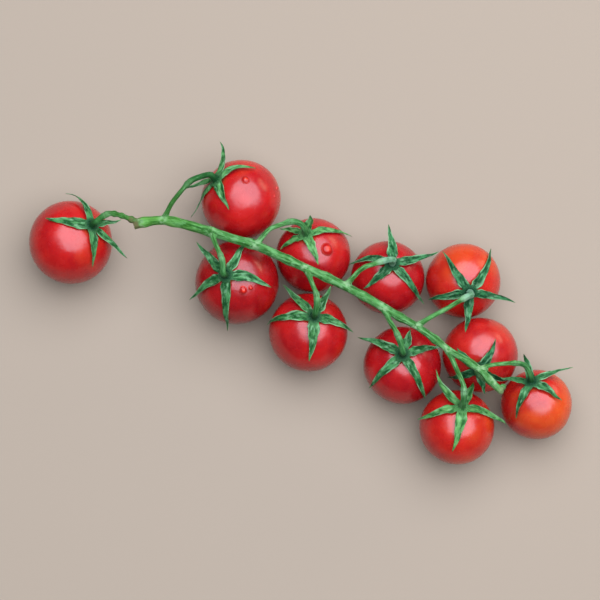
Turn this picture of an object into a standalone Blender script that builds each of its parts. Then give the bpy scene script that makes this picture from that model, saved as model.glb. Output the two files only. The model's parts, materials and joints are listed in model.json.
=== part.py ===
"""A picked truss of eleven cherry tomatoes, lying on a flat surface.

One woody-green main stem (the rachis) arches over the fruit. Eleven fruit stalks leave it on
alternate sides, each with the swollen knuckle where it would snap off, and each ends in a
five-pointed calyx that sits on its tomato.

Frame: metres, +Z up, the surface that the truss lies on is z = 0, the origin is under the middle
of the truss, +X runs along the truss from the cut end of the stem towards its tip.

Plan positions (u, v) are read on a sighting grid seen from a point SIGHT_HEIGHT above the surface:
u grows to +X, v grows to -Y, and one grid unit is UNIT wide at the fruits' mid height. A point that
lies higher than that is a little nearer to the sighting point, which sight() allows for.
"""

import math

import bmesh
import bpy
from mathutils import Vector

# ---------------------------------------------------------------- driving dimensions
MM = 0.001
UNIT = 0.57 * MM  # width of one grid unit at mid height
SIGHT_HEIGHT = 800 * MM
MID_HEIGHT = 14.5 * MM
NADIR = (300.0, 300.0)  # grid point straight below the sighting point
PLAN_CENTRE = (9.368 * MM, 109.852 * MM)  # middle of the truss, from the nadir

FLAT = 0.25 * MM  # how far a ripe fruit flattens where it rests
GAP = 0.35 * MM  # clearance between neighbouring pieces
CALYX_TOP = 1.7 * MM  # top of the calyx's base above the fruit
CALYX_SKIN = 0.7 * MM  # thickness of a sepal
CALYX_BASE = 3.1 * MM  # radius of the disc that the sepals grow from
NOTCH = 2.9 * MM  # how far from the calyx's axis two neighbouring sepals part
SEPAL_LIFT = 1.35 * MM  # a sepal's upper face stays this far off any fruit
STALK_GAP = 0.55 * MM  # clearance between a stalk's end and its calyx, whose sepals may stand up beside it
STALK_RADIUS = 0.95 * MM
KNUCKLE_RADIUS = 1.45 * MM

# name: (u, v, width in mm, height / width, calyx u, calyx v)
FRUITS = {
    "01": (165.4, 67.0, 31.4, 0.97, 179.7, 54.8),
    "02": (277.4, 38.0, 30.4, 0.96, 259.8, 23.8),
    "03": (275.0, 93.6, 31.4, 0.97, 267.1, 88.3),
    "04": (325.2, 75.4, 28.2, 0.96, 320.2, 60.2),
    "05": (322.0, 126.6, 29.4, 0.96, 325.9, 115.5),
    "06": (374.3, 90.2, 27.6, 0.97, 377.4, 80.0),
    "07": (383.5, 148.2, 29.0, 0.96, 383.8, 140.6),
    "08": (424.0, 92.2, 28.1, 0.96, 428.5, 100.4),
    "09": (418.8, 188.8, 27.9, 0.97, 422.6, 174.6),
    "10": (471.0, 173.9, 26.5, 0.96, 467.9, 157.7),
    "11": (434.6, 141.4, 28.2, 0.97, 433.0, 151.5),
}

# The five sepal tips of each calyx: (u, v, height in mm or None to lie just over the fruit, width in mm)
SEPALS = {
    "01": [(161.3, 34.4, 17.0, 2.8), (148.5, 51.0, None, 4.7), (179.3, 83.3, None, 3.7), (203.0, 77.8, 15.0, 3.0), (198.0, 52.6, 19.5, 2.6)],
    "02": [(263.8, -1.0, 22.0, 2.8), (287.6, 17.2, None, 3.4), (269.8, 45.2, None, 4.0), (245.5, 50.4, 12.5, 3.0), (241.0, 31.0, 15.5, 2.8)],
    "03": [(248.3, 66.6, 22.0, 3.7), (280.5, 68.5, 21.5, 3.9), (298.0, 97.2, None, 4.5), (269.0, 125.3, 15.0, 4.1), (244.5, 105.5, 18.0, 3.9)],
    "04": [(323.6, 48.4, 28.6, 4.6), (350.4, 63.4, 15.5, 3.7), (328.8, 81.6, None, 3.6), (303.2, 71.7, None, 3.3), (303.5, 58.2, 18.5, 2.9)],
    "05": [(305.3, 96.0, 18.0, 4.0), (337.2, 95.6, 22.0, 4.0), (350.8, 127.0, 14.5, 4.2), (322.5, 145.5, None, 4.7), (294.5, 121.9, 15.5, 4.3)],
    "06": [(374.6, 54.8, 16.5, 4.3), (407.6, 73.2, 20.5, 3.7), (398.2, 108.6, 13.5, 3.8), (358.3, 97.6, None, 3.9), (347.5, 83.2, 16.5, 3.2)],
    "07": [(354.2, 129.8, 17.5, 4.0), (388.9, 124.9, 25.0, 3.8), (408.4, 136.2, 18.5, 3.7), (397.8, 170.6, 15.5, 3.7), (362.1, 162.9, 16.5, 4.0)],
    "08": [(411.3, 73.0, None, 3.7), (442.8, 70.4, 18.0, 4.1), (458.4, 106.4, 19.5, 3.5), (425.0, 127.2, 27.5, 3.7), (400.6, 104.8, 18.5, 3.7)],
    "09": [(405.1, 150.7, 24.5, 3.6), (430.6, 158.6, 28.5, 4.1), (453.1, 187.9, 13.0, 3.8), (415.6, 204.7, None, 4.4), (393.6, 184.7, 18.0, 4.0)],
    "10": [(463.3, 140.2, 27.0, 3.0), (495.6, 149.6, 20.5, 3.1), (487.2, 171.7, None, 3.9), (457.3, 183.3, None, 3.5), (446.2, 156.4, 26.5, 2.8)],
    "11": [(444.7, 131.0, None, 3.7), (419.5, 136.5, None, 3.2), (413.4, 155.8, 15.5, 3.2), (437.6, 166.6, 21.5, 3.1), (453.6, 157.6, 17.5, 3.1)],
}

# Centre line of the main stem, from its cut end to its tip: (u, v, height in mm, radius in mm)
STEM = [
    (206.7, 55.0, 22.6, 1.90),
    (214.2, 53.3, 23.0, 1.68),
    (226.4, 52.2, 24.4, 1.75),
    (240.5, 54.9, 26.4, 1.85),
    (258.6, 60.2, 28.6, 1.80),
    (272.0, 64.3, 29.8, 1.62),
    (287.2, 68.9, 31.0, 1.75),
    (303.2, 76.1, 32.4, 1.68),
    (320.6, 84.2, 33.4, 1.65),
    (333.1, 89.7, 33.4, 1.60),
    (346.0, 96.0, 33.0, 1.65),
    (357.9, 102.3, 32.4, 1.60),
    (371.2, 110.0, 32.2, 1.52),
    (382.6, 116.6, 32.6, 1.70),
    (393.0, 122.4, 33.2, 1.48),
    (402.9, 129.4, 34.2, 1.28),
    (413.2, 137.4, 35.4, 1.42),
    (424.1, 144.1, 36.4, 1.20),
    (434.1, 151.1, 36.8, 1.32),
    (440.6, 157.9, 36.2, 1.35),
    (448.0, 165.0, 35.0, 1.30),
]

# Fruit stalks: distance along the main stem's list where each leaves it, then the way points
# (u, v, height in mm) and the share of its length at which its knuckle sits
STALKS = {
    "01": (0.55, [(203.0, 50.8, 24.8), (197.0, 48.6, 27.0), (190.8, 47.6, 28.6), (186.2, 49.6, 28.6)], 0.62),
    "02": (2.0, [(230.8, 42.1, 26.2), (237.2, 33.2, 27.6), (243.8, 25.8, 27.8), (251.0, 22.6, 27.0)], 0.56),
    "03": (4.0, [(259.8, 65.4, 30.8), (262.8, 72.6, 33.4), (265.4, 79.6, 34.8)], 0.55),
    "04": (6.0, [(295.6, 58.6, 31.8), (303.8, 54.9, 32.0), (310.8, 52.8, 31.4), (316.3, 54.0, 30.2)], 0.60),
    "05": (8.0, [(324.4, 94.0, 34.0), (327.2, 101.4, 34.0), (327.4, 108.4, 33.2)], 0.52),
    "06": (10.0, [(356.8, 84.6, 33.0), (366.0, 80.8, 32.6), (372.6, 78.6, 31.6)], 0.66),
    "07": (12.0, [(375.2, 118.6, 33.2), (379.1, 125.2, 33.6), (382.0, 132.2, 32.8)], 0.54),
    "08": (14.0, [(402.0, 116.6, 33.4), (411.4, 111.6, 33.2), (420.4, 106.2, 32.6), (426.6, 102.6, 31.6)], 0.72),
    "09": (16.0, [(416.8, 145.4, 34.6), (420.2, 153.2, 34.0), (423.4, 161.2, 33.0), (423.6, 167.8, 31.6)], 0.66),
    "10": (18.0, [(440.8, 148.2, 35.4), (449.0, 147.2, 33.4), (457.4, 146.8, 31.0), (464.2, 148.4, 28.6)], 0.55),
    "11": (19.2, [(442.4, 160.4, 33.0), (439.0, 158.0, 32.2)], 0.55),
}


# ---------------------------------------------------------------- geometry helpers
def sight(u, v, z):
    """The point at height z that is seen at grid position (u, v)."""
    scale = UNIT * (SIGHT_HEIGHT - z) / (SIGHT_HEIGHT - MID_HEIGHT)
    return Vector(
        (
            (u - NADIR[0]) * scale - PLAN_CENTRE[0],
            (NADIR[1] - v) * scale - PLAN_CENTRE[1],
            z,
        )
    )


def on_ball(u, v, centre, radius):
    """Where the sight line through (u, v) meets a ball, or its nearest point where it misses."""
    eye = Vector((-PLAN_CENTRE[0], -PLAN_CENTRE[1], SIGHT_HEIGHT))
    ray = (sight(u, v, 0.0) - eye).normalized()
    along = (centre - eye).dot(ray)
    nearest = eye + ray * along
    off = (nearest - centre).length
    if off >= radius:
        return centre + (nearest - centre).normalized() * radius
    return nearest - ray * math.sqrt(radius * radius - off * off)


def smooth_route(points, count):
    """Points spaced evenly along a Catmull-Rom curve through the given ones."""
    ends = [points[0] * 2 - points[1], *points, points[-1] * 2 - points[-2]]
    fine = []
    for a, b, c, d in zip(ends, ends[1:], ends[2:], ends[3:]):
        for i in range(16):
            t = i / 16
            fine.append(
                0.5
                * (
                    2 * b
                    + (c - a) * t
                    + (2 * a - 5 * b + 4 * c - d) * t * t
                    + (3 * b - a - 3 * c + d) * t * t * t
                )
            )
    fine.append(points[-1])
    run = [0.0]
    for a, b in zip(fine, fine[1:]):
        run.append(run[-1] + (b - a).length)
    out, k = [], 0
    for i in range(count):
        want = run[-1] * i / (count - 1)
        while k < len(run) - 2 and run[k + 1] < want:
            k += 1
        t = (want - run[k]) / max(run[k + 1] - run[k], 1e-12)
        out.append(fine[k].lerp(fine[k + 1], min(max(t, 0.0), 1.0)))
    return out


def between(values, position):
    """A value read at a fractional position in a list."""
    i = min(int(position), len(values) - 2)
    return values[i] + (values[i + 1] - values[i]) * (position - i)


def material(name, colour, roughness):
    made = bpy.data.materials.new(name)
    made.use_nodes = True
    shader = made.node_tree.nodes["Principled BSDF"]
    shader.inputs["Base Color"].default_value = (*colour, 1.0)
    shader.inputs["Roughness"].default_value = roughness
    shader.inputs["Metallic"].default_value = 0.0
    return made


def add_object(name, data, collection, mat=None):
    made = bpy.data.objects.new(name, data)
    collection.objects.link(made)
    if mat is not None:
        made.data.materials.append(mat)
    return made


def tube(name, route, radii, collection, mat=None):
    """A stem: a curve with a round section and closed ends, its radius set point by point, its origin at its foot."""
    curve = bpy.data.curves.new(name, "CURVE")
    curve.dimensions = "3D"
    curve.bevel_depth = 1.0
    curve.bevel_resolution = 2
    curve.use_fill_caps = True
    spline = curve.splines.new("POLY")
    spline.points.add(len(route) - 1)
    for point, place, radius in zip(spline.points, route, radii):
        point.co = (*(place - route[0]), 1.0)
        point.radius = radius
    made = add_object(name, curve, collection, mat)
    made.location = route[0]
    return made


def as_mesh(curve_object, collection):
    """The same tube as a mesh with its caps welded on, so that it can be cut or be a cutter."""
    name = curve_object.name
    bpy.context.view_layer.update()
    view = bpy.context.evaluated_depsgraph_get()
    mesh = bpy.data.meshes.new_from_object(curve_object.evaluated_get(view))
    welded = bmesh.new()
    welded.from_mesh(mesh)
    bmesh.ops.remove_doubles(welded, verts=welded.verts, dist=0.001 * MM)
    bmesh.ops.recalc_face_normals(welded, faces=welded.faces)
    welded.to_mesh(mesh)
    welded.free()
    matrix = curve_object.matrix_world.copy()
    bpy.data.objects.remove(curve_object, do_unlink=True)
    made = add_object(name, mesh, collection)
    mesh.name = name
    made.matrix_world = matrix
    mesh.shade_smooth()
    return made


# ---------------------------------------------------------------- the pieces
def fruit_frame(name):
    """Centre, axis through the calyx, and the half width and half height of one tomato."""
    u, v, width, ratio, calyx_u, calyx_v = FRUITS[name]
    a = width * MM / 2
    c = a * ratio
    z = a - FLAT
    for _ in range(6):
        centre = sight(u, v, z)
        axis = (on_ball(calyx_u, calyx_v, centre, c + CALYX_TOP) - centre).normalized()
        reach = math.sqrt(a * a * (1 - axis.z**2) + c * c * axis.z**2)
        z = reach - FLAT
    return sight(u, v, z), axis, a, c


def make_fruit(name, frames, collection, table, mat):
    centre, axis, a, c = frames[name]
    mesh = bpy.data.meshes.new("tomato_" + name)
    body = bmesh.new()
    bmesh.ops.create_uvsphere(body, u_segments=20, v_segments=12, radius=1.0)
    bmesh.ops.scale(body, vec=(a, a, c), verts=body.verts)
    body.to_mesh(mesh)
    body.free()
    made = add_object("tomato_" + name, mesh, collection, mat)
    made.location = centre
    made.rotation_mode = "QUATERNION"
    made.rotation_quaternion = axis.to_track_quat("Z", "Y")
    rest = made.modifiers.new("rests_on_table", "BOOLEAN")
    rest.operation = "DIFFERENCE"
    rest.object = table
    mesh.shade_smooth()
    return made


def clear_of_fruit(point, frames, lift):
    """Moves a point out of any tomato, so that it stays lift above the skin."""
    for _ in range(3):
        for centre, _axis, a, _c in frames.values():
            off = point - centre
            if off.length < a + lift:
                point = centre + off.normalized() * (a + lift)
    return point


def sepal_width(t):
    """Share of a sepal's full width at a share t of its length: broad at its foot, then a long point."""
    if t < 0.12:
        return 0.92 + 0.08 * math.sin(t / 0.12 * math.pi / 2)
    return ((1 - t) / 0.88) ** 0.82


def sepal_rows(name, tip, frames, rows):
    """Centre, side vector and upward vector at each row of a sepal, from the calyx's disc to its tip."""
    centre, axis, a, c = frames[name]
    u, v, z, width = tip
    foot = centre + axis * (c + CALYX_TOP - 0.2 * MM)
    if z is None:
        end = on_ball(u, v, centre, a + SEPAL_LIFT + 0.4 * MM)
    else:
        end = sight(u, v, z * MM)
    reach = end - foot
    flat = (reach - axis * reach.dot(axis)).normalized()
    lead = foot + flat * reach.length * 0.52
    side = flat.cross(axis)
    out = []
    for i in range(rows + 1):
        t = i / rows
        start = min(CALYX_BASE / reach.length, 0.45)
        s = start + (1 - start) * t
        place = foot * (1 - s) ** 2 + lead * 2 * s * (1 - s) + end * s * s
        run = ((lead - foot) * (1 - s) + (end - lead) * s).normalized()
        out.append((place, side, side.cross(run), sepal_width(t) * width * MM / 2))
    return out


def make_calyx(name, frames, collection, mat):
    """Five sepals round a small disc, one closed body: neighbours meet in a notch, and no blade reaches past it."""
    centre, axis, _a, c = frames[name]
    rows = 6
    turn = axis.to_track_quat("Z", "Y")
    inverse = turn.inverted()

    def plan(place):
        """Distance from the calyx's own axis, and bearing round it."""
        local = inverse @ (place - centre)
        return math.hypot(local.x, local.y), math.atan2(local.y, local.x)

    tables = [sepal_rows(name, tip, frames, rows) for tip in SEPALS[name]]
    tables.sort(key=lambda table: plan(table[2][0])[1])
    bearings = [plan(table[2][0])[1] for table in tables]
    notches = [(one + two) / 2 for one, two in zip(bearings, bearings[1:] + [bearings[0] + 2 * math.pi])]

    mesh = bpy.data.meshes.new("calyx_" + name)
    body = bmesh.new()

    def pair(point, up):
        """A vertex of the upper side, and the one of the under side below it."""
        return body.verts.new(point - centre), body.verts.new(point - up * CALYX_SKIN - centre)

    def face(*corners):
        """The same face on both sides."""
        body.faces.new([top for top, _under in corners])
        body.faces.new([under for _top, under in reversed(corners)])

    def wall(one, two):
        body.faces.new((one[0], one[1], two[1], two[0]))

    middle = pair(centre + axis * (c + CALYX_TOP), axis)
    meeting = []
    for angle in notches:
        flat = turn @ Vector((NOTCH * math.cos(angle), NOTCH * math.sin(angle), c + CALYX_TOP - 0.3 * MM))
        meeting.append(pair(centre + flat, axis))
    for i, table in enumerate(tables):
        low = notches[i - 1] - (2 * math.pi if i == 0 else 0.0)
        high = notches[i]
        previous = [meeting[i - 1], pair(table[0][0], axis), meeting[i]]
        face(middle, previous[0], previous[1])
        face(middle, previous[1], previous[2])
        for place, side, up, half in table[1:rows]:
            away, bearing = plan(place)
            bearing = bearings[i] + (bearing - bearings[i] + math.pi) % (2 * math.pi) - math.pi
            rights = min(half, 0.88 * away * math.sin(min(max(bearing - low, 0.1), math.pi / 2)))
            lefts = min(half, 0.88 * away * math.sin(min(max(high - bearing, 0.1), math.pi / 2)))
            # the midrib stands a little proud of the two edges
            row = [
                pair(clear_of_fruit(place + side * rights - up * 0.25 * MM, frames, SEPAL_LIFT - 0.2 * MM), up),
                pair(clear_of_fruit(place, frames, SEPAL_LIFT), up),
                pair(clear_of_fruit(place - side * lefts - up * 0.25 * MM, frames, SEPAL_LIFT - 0.2 * MM), up),
            ]
            face(previous[0], row[0], row[1], previous[1])
            face(previous[1], row[1], row[2], previous[2])
            wall(previous[0], row[0])
            wall(row[2], previous[2])
            previous = row
        place, _side, up, _half = table[rows]
        end = pair(clear_of_fruit(place, frames, SEPAL_LIFT), up)
        face(previous[0], end, previous[1])
        face(previous[1], end, previous[2])
        wall(previous[0], end)
        wall(end, previous[2])
    bmesh.ops.recalc_face_normals(body, faces=body.faces)
    body.to_mesh(mesh)
    body.free()
    made = add_object("calyx_" + name, mesh, collection, mat)
    made.location = centre
    mesh.shade_smooth()
    return made


def stem_places():
    return [sight(u, v, z * MM) for u, v, z, _ in STEM]


def stem_tube(name, extra, collection, mat=None):
    """The main stem, or with extra a tube that stands off it all over, its two ends included."""
    count = 46
    route = smooth_route(stem_places(), count)
    route[0] = route[0] + (route[0] - route[1]).normalized() * extra
    route[-1] = route[-1] + (route[-1] - route[-2]).normalized() * extra
    radii = [r * MM for *_, r in STEM]
    sizes = [between(radii, i / (count - 1) * (len(radii) - 1)) + extra for i in range(count)]
    return tube(name, route, sizes, collection, mat)


def stalk_route(name, frames):
    """From inside the main stem, through the way points, to just off the calyx."""
    position, ways, _knuckle = STALKS[name]
    root = between(stem_places(), position)
    points = [sight(u, v, z * MM) for u, v, z in ways]
    centre, axis, _a, c = frames[name]
    top = centre + axis * (c + CALYX_TOP + STALK_GAP)
    return [root, *points, top + axis * 2.2 * MM, top]


def make_stalk(name, frames, clearance, collection, mat):
    """A stalk with a knuckle, cut back so that its foot fits round the main stem with an even gap."""
    count = 15
    route = smooth_route(stalk_route(name, frames), count)
    knuckle = STALKS[name][2]
    sizes = []
    for i in range(count):
        t = i / (count - 1)
        swell = math.exp(-(((t - knuckle) / 0.06) ** 2))
        foot = max(0.0, (0.3 - t) / 0.3)
        head = max(0.0, (t - 0.8) / 0.2)
        sizes.append(STALK_RADIUS + (KNUCKLE_RADIUS - STALK_RADIUS) * swell + 0.35 * MM * (foot + head**2))
    made = as_mesh(tube("fruit_stalk_" + name, route, sizes, collection), collection)
    made.data.materials.append(mat)
    cope = made.modifiers.new("coped_to_main_stem", "BOOLEAN")
    cope.operation = "DIFFERENCE"
    cope.object = clearance
    return made


def main():
    for old in list(bpy.data.objects):
        bpy.data.objects.remove(old, do_unlink=True)
    truss = bpy.data.collections.new("tomato_truss")
    cutters = bpy.data.collections.new("cutters")
    bpy.context.scene.collection.children.link(truss)
    bpy.context.scene.collection.children.link(cutters)

    slab_mesh = bpy.data.meshes.new("table_cutter")
    slab = bmesh.new()
    bmesh.ops.create_cube(slab, size=1.0)
    bmesh.ops.scale(slab, vec=(0.4, 0.3, 0.02), verts=slab.verts)
    slab.to_mesh(slab_mesh)
    slab.free()
    table = add_object("table_cutter", slab_mesh, cutters)
    table.location = (0.0, 0.0, -0.01)
    table.hide_render = True
    table.display_type = "WIRE"

    ripe = material("ripe_skin", (0.56, 0.012, 0.010), 0.28)
    orange = material("turning_skin", (0.66, 0.045, 0.012), 0.28)
    leafy = material("sepal_green", (0.045, 0.190, 0.045), 0.62)
    stemmy = material("stem_green", (0.110, 0.300, 0.060), 0.58)

    clearance = as_mesh(stem_tube("main_stem_clearance", GAP, cutters), cutters)
    clearance.hide_render = True
    clearance.display_type = "WIRE"

    whole = add_object("truss", None, truss)
    frames = {name: fruit_frame(name) for name in FRUITS}
    made = [stem_tube("main_stem", 0.0, truss, stemmy)]
    for name in FRUITS:
        made.append(make_fruit(name, frames, truss, table, orange if name == "10" else ripe))
        made.append(make_calyx(name, frames, truss, leafy))
        made.append(make_stalk(name, frames, clearance, truss, stemmy))
    for piece in made:
        piece.parent = whole


main()
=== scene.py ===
"""Looks for the truss of cherry tomatoes: skins, sepals, stems, studio and camera.

Everything is in metres in the part's own frame: z = 0 is the surface, +X runs along the truss.
Plan positions (u, v) are on the part's sighting grid, seen from SIGHT_HEIGHT above the surface.
"""

import math

import bpy
import numpy as np
from mathutils import Matrix, Vector, noise
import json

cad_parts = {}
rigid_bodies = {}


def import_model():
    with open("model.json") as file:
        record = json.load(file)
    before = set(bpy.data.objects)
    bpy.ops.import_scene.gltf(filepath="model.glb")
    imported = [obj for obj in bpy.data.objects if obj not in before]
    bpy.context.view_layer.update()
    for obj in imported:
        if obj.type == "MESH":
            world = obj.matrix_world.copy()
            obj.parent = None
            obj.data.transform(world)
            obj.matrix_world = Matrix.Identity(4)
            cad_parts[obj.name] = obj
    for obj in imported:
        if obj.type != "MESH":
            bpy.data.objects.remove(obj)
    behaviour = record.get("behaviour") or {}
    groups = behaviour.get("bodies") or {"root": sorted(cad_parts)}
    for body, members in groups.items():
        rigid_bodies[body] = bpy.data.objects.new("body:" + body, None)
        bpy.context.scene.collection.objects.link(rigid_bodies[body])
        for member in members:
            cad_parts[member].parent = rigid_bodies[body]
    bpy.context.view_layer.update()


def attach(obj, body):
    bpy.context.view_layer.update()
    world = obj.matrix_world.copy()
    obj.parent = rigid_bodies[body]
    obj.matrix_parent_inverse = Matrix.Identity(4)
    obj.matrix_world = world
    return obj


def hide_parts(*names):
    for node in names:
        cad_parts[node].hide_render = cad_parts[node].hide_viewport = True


for startup in list(bpy.data.objects):
    bpy.data.objects.remove(startup, do_unlink=True)
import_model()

# ---------------------------------------------------------------- the part's own dimensions
MM = 0.001
UNIT = 0.57 * MM
SIGHT_HEIGHT = 800 * MM
MID_HEIGHT = 14.5 * MM
NADIR = (300.0, 300.0)
PLAN_CENTRE = (9.368 * MM, 109.852 * MM)
FLAT = 0.25 * MM
CALYX_TOP = 1.7 * MM

# name: (u, v, width in mm, height / width, calyx u, calyx v)
FRUITS = {
    "01": (165.4, 67.0, 31.4, 0.97, 179.7, 54.8),
    "02": (277.4, 38.0, 30.4, 0.96, 259.8, 23.8),
    "03": (275.0, 93.6, 31.4, 0.97, 267.1, 88.3),
    "04": (325.2, 75.4, 28.2, 0.96, 320.2, 60.2),
    "05": (322.0, 126.6, 29.4, 0.96, 325.9, 115.5),
    "06": (374.3, 90.2, 27.6, 0.97, 377.4, 80.0),
    "07": (383.5, 148.2, 29.0, 0.96, 383.8, 140.6),
    "08": (424.0, 92.2, 28.1, 0.96, 428.5, 100.4),
    "09": (418.8, 188.8, 27.9, 0.97, 422.6, 174.6),
    "10": (471.0, 173.9, 26.5, 0.96, 467.9, 157.7),
    "11": (434.6, 141.4, 28.2, 0.97, 433.0, 151.5),
}

# Sepals of each calyx: tip (u, v), height in mm or None to lie just over the fruit, width in mm,
# the point (u, v) it passes half way or None, and how far its blade is rolled over, in degrees
SEPALS = {
    "01": [
        (161.3, 34.4, 17.0, 2.8, (172.6, 39.6), 20),
        (148.5, 51.0, None, 4.7, (163.2, 53.4), 0),
        (179.3, 83.3, None, 3.7, (180.6, 69.5), -8),
        (203.0, 77.8, 15.0, 3.0, (191.5, 66.8), 24),
        (198.0, 52.6, 19.5, 2.6, None, 0),
    ],
    "02": [
        (263.8, -1.0, 22.0, 2.8, (265.6, 11.0), 28),
        (287.6, 17.2, None, 3.4, (273.8, 16.6), -14),
        (269.8, 45.2, None, 4.0, (264.4, 33.6), 6),
        (245.5, 50.4, 12.5, 3.0, (252.4, 36.0), 38),
        (241.0, 31.0, 15.5, 2.8, None, 0),
    ],
    "03": [
        (248.3, 66.6, 22.0, 3.7, (257.2, 77.4), 6),
        (280.5, 68.5, 21.5, 3.9, (274.4, 78.0), -6),
        (298.0, 97.2, None, 4.5, (282.6, 90.0), 16),
        (269.0, 125.3, 15.0, 4.1, (268.0, 106.2), -10),
        (244.5, 105.5, 18.0, 3.9, (254.7, 95.3), 0),
    ],
    "04": [
        (323.6, 48.4, 28.6, 4.6, None, 0),
        (350.4, 63.4, 15.5, 3.7, (336.6, 58.6), -16),
        (328.8, 81.6, None, 3.6, (324.9, 71.0), 6),
        (303.2, 71.7, None, 3.3, (311.5, 65.3), -6),
        (303.5, 58.2, 18.5, 2.9, None, 0),
    ],
    "05": [
        (305.3, 96.0, 18.0, 4.0, (315.5, 105.3), 0),
        (337.2, 95.6, 22.0, 4.0, (331.7, 106.0), -24),
        (350.8, 127.0, 14.5, 4.2, (339.7, 119.8), 8),
        (322.5, 145.5, None, 4.7, (325.0, 130.0), -6),
        (294.5, 121.9, 15.5, 4.3, (307.9, 116.1), 4),
    ],
    "06": [
        (374.6, 54.8, 16.5, 4.3, (377.1, 67.9), 10),
        (407.6, 73.2, 20.5, 3.7, (393.4, 77.6), -18),
        (398.2, 108.6, 13.5, 3.8, (387.6, 92.6), 10),
        (358.3, 97.6, None, 3.9, (369.1, 88.9), 0),
        (347.5, 83.2, 16.5, 3.2, (361.2, 77.6), 12),
    ],
    "07": [
        (354.2, 129.8, 17.5, 4.0, (369.8, 134.2), 0),
        (388.9, 124.9, 25.0, 3.8, (387.0, 131.6), -30),
        (408.4, 136.2, 18.5, 3.7, (396.6, 137.6), 8),
        (397.8, 170.6, 15.5, 3.7, (391.9, 154.6), -8),
        (362.1, 162.9, 16.5, 4.0, (372.5, 151.5), 4),
    ],
    "08": [
        (411.3, 73.0, None, 3.7, (419.5, 87.0), 6),
        (442.8, 70.4, 18.0, 4.1, (437.4, 87.0), -10),
        (458.4, 106.4, 19.5, 3.5, (443.0, 102.0), 12),
        (425.0, 127.2, 27.5, 3.7, (426.8, 114.4), -16),
        (400.6, 104.8, 18.5, 3.7, (413.2, 102.3), 8),
    ],
    "09": [
        (405.1, 150.7, 24.5, 3.6, (411.0, 164.0), 20),
        (430.6, 158.6, 28.5, 4.1, None, -10),
        (453.1, 187.9, 13.0, 3.8, (438.2, 179.4), 14),
        (415.6, 204.7, None, 4.4, (420.5, 189.5), 0),
        (393.6, 184.7, 18.0, 4.0, (407.5, 178.8), -6),
    ],
    "10": [
        (463.3, 140.2, 27.0, 3.0, (465.6, 148.4), 20),
        (495.6, 149.6, 20.5, 3.1, (481.6, 153.2), -16),
        (487.2, 171.7, None, 3.9, (477.9, 163.4), 0),
        (457.3, 183.3, None, 3.5, (461.4, 170.3), 8),
        (446.2, 156.4, 26.5, 2.8, (456.0, 157.6), 10),
    ],
    "11": [
        (444.7, 131.0, None, 3.7, (440.0, 143.0), 0),
        (419.5, 136.5, None, 3.2, None, 8),
        (413.4, 155.8, 15.5, 3.2, None, 0),
        (437.6, 166.6, 21.5, 3.1, None, -10),
        (453.6, 157.6, 17.5, 3.1, None, 8),
    ],
}

# Centre line of the main stem, from its cut end to its tip: (u, v, height in mm, radius in mm)
STEM = [
    (206.7, 55.0, 22.6, 1.90),
    (214.2, 53.3, 23.0, 1.68),
    (226.4, 52.2, 24.4, 1.75),
    (240.5, 54.9, 26.4, 1.85),
    (258.6, 60.2, 28.6, 1.80),
    (272.0, 64.3, 29.8, 1.62),
    (287.2, 68.9, 31.0, 1.75),
    (303.2, 76.1, 32.4, 1.68),
    (320.6, 84.2, 33.4, 1.65),
    (333.1, 89.7, 33.4, 1.60),
    (346.0, 96.0, 33.0, 1.65),
    (357.9, 102.3, 32.4, 1.60),
    (371.2, 110.0, 32.2, 1.52),
    (382.6, 116.6, 32.6, 1.70),
    (393.0, 122.4, 33.2, 1.48),
    (402.9, 129.4, 34.2, 1.28),
    (413.2, 137.4, 35.4, 1.42),
    (424.1, 144.1, 36.4, 1.20),
    (434.1, 151.1, 36.8, 1.32),
    (440.6, 157.9, 36.2, 1.35),
    (448.0, 165.0, 35.0, 1.30),
]

# Fruit stalks: where each leaves the main stem, as a place in that list, then its way points
# (u, v, height in mm) and the share of its length at which its knuckle sits
STALKS = {
    "01": (0.55, [(203.0, 50.8, 24.8), (197.0, 48.6, 27.0), (190.8, 47.6, 28.6), (186.2, 49.6, 28.6)], 0.62),
    "02": (2.0, [(230.8, 42.1, 26.2), (237.2, 33.2, 27.6), (243.8, 25.8, 27.8), (251.0, 22.6, 27.0)], 0.56),
    "03": (4.0, [(259.8, 65.4, 30.8), (262.8, 72.6, 33.4), (265.4, 79.6, 34.8)], 0.55),
    "04": (6.0, [(295.6, 58.6, 31.8), (303.8, 54.9, 32.0), (310.8, 52.8, 31.4), (316.3, 54.0, 30.2)], 0.60),
    "05": (8.0, [(324.4, 94.0, 34.0), (327.2, 101.4, 34.0), (327.4, 108.4, 33.2)], 0.52),
    "06": (10.0, [(356.8, 84.6, 33.0), (366.0, 80.8, 32.6), (372.6, 78.6, 31.6)], 0.66),
    "07": (12.0, [(375.2, 118.6, 33.2), (379.1, 125.2, 33.6), (382.0, 132.2, 32.8)], 0.54),
    "08": (14.0, [(402.0, 116.6, 33.4), (411.4, 111.6, 33.2), (420.4, 106.2, 32.6), (426.6, 102.6, 31.6)], 0.72),
    "09": (16.0, [(416.8, 145.4, 34.6), (420.2, 153.2, 34.0), (423.4, 161.2, 33.0), (423.6, 167.8, 31.6)], 0.66),
    "10": (18.0, [(440.8, 148.2, 35.4), (449.0, 147.2, 33.4), (457.4, 146.8, 31.0), (464.2, 148.4, 28.6)], 0.55),
    "11": (19.2, [(442.4, 160.4, 33.0), (439.0, 158.0, 32.2)], 0.55),
}


# ---------------------------------------------------------------- geometry helpers
def sight(u, v, z):
    scale = UNIT * (SIGHT_HEIGHT - z) / (SIGHT_HEIGHT - MID_HEIGHT)
    return Vector(((u - NADIR[0]) * scale - PLAN_CENTRE[0], (NADIR[1] - v) * scale - PLAN_CENTRE[1], z))


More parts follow.
